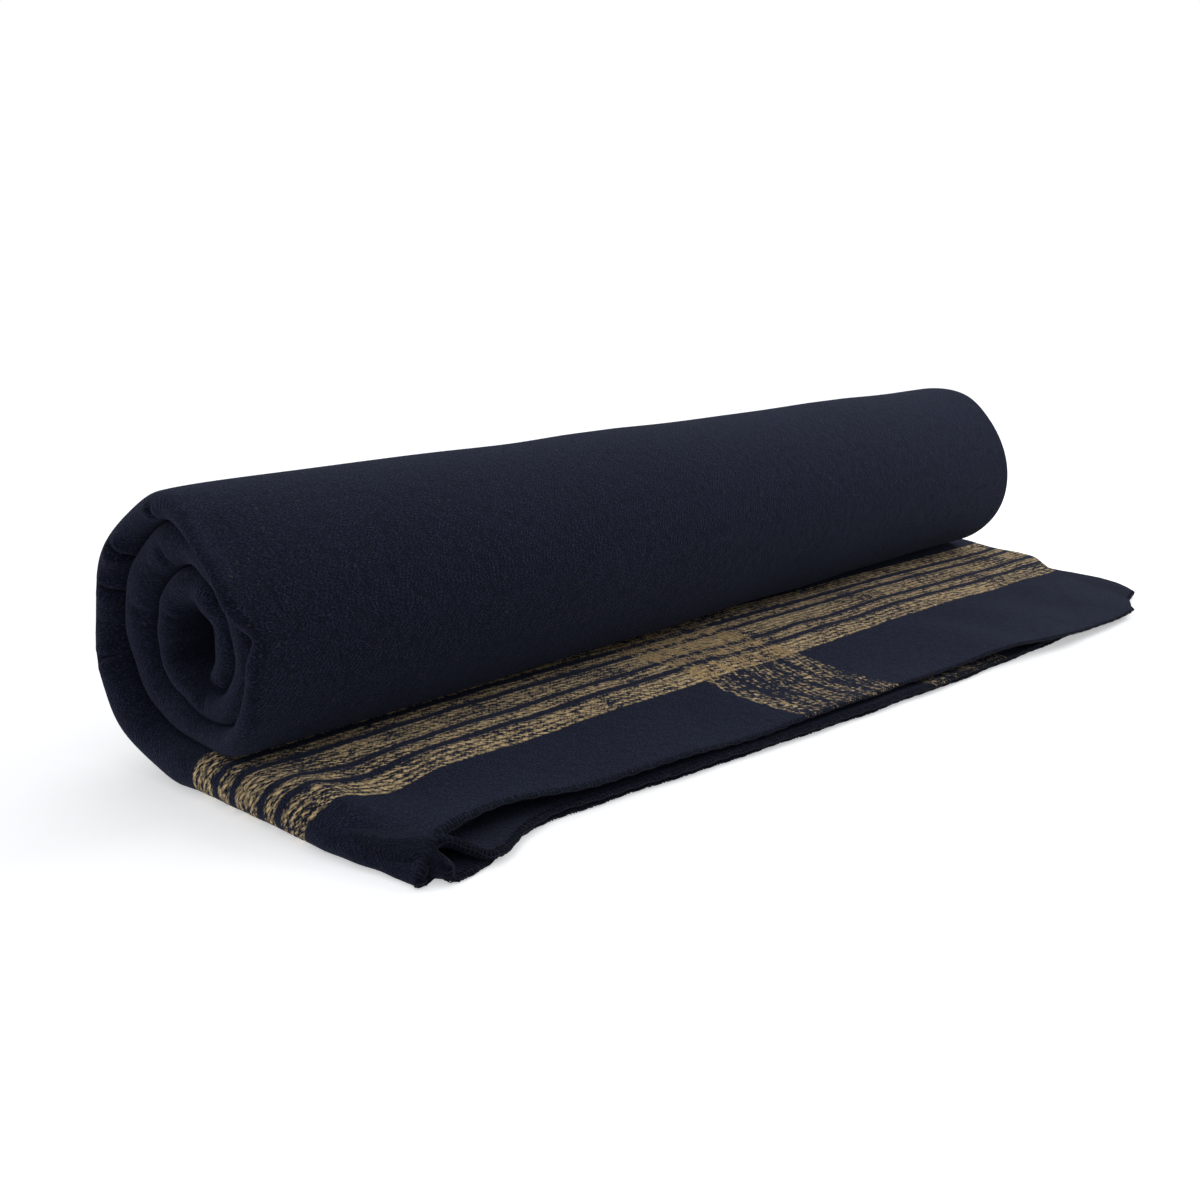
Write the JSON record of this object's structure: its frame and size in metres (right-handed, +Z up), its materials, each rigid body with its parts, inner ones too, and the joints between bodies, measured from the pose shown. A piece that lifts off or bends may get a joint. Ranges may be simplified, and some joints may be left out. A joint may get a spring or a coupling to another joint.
{
  "type": "camp blanket",
  "caption": "Wool camp blanket folded to a wide strip of plies and rolled up, its striped end lying flat in front as a tail that lifts.",
  "frame": {"origin": "bottom centre of the whole blanket's box, on the surface it lies on", "axes": "+X along the roll from the folded near end to the open far end, +Y from the tail's hem back to the roll, +Z up"},
  "size_m": [0.51, 0.196, 0.1],
  "materials": {
    "wool_cloth": "napped navy wool twill with mustard stripes",
    "hem_thread": "navy overlock thread"
  },
  "bodies": {
    "roll": {"wrap_1_outer_layer": "wool_cloth", "wrap_1_inner_layer": "wool_cloth", "wrap_2_outer_layer": "wool_cloth", "wrap_2_inner_layer": "wool_cloth", "core_outer_layer": "wool_cloth", "core_inner_layer": "wool_cloth"},
    "tail": {"tail_outer_layer": "wool_cloth", "tail_inner_layer": "wool_cloth", "hem_top_outer": "hem_thread", "hem_top_inner": "hem_thread", "hem_bottom_inner": "hem_thread", "hem_bottom_outer": "hem_thread"}
  },
  "joints": [
    {"name": "tail_lift", "type": "hinge", "parent": "roll", "child": "tail", "pos_m": [0, -0.007, 0.0141], "axis": [-1, 0, 0], "range_deg": [0, 90]}
  ]
}
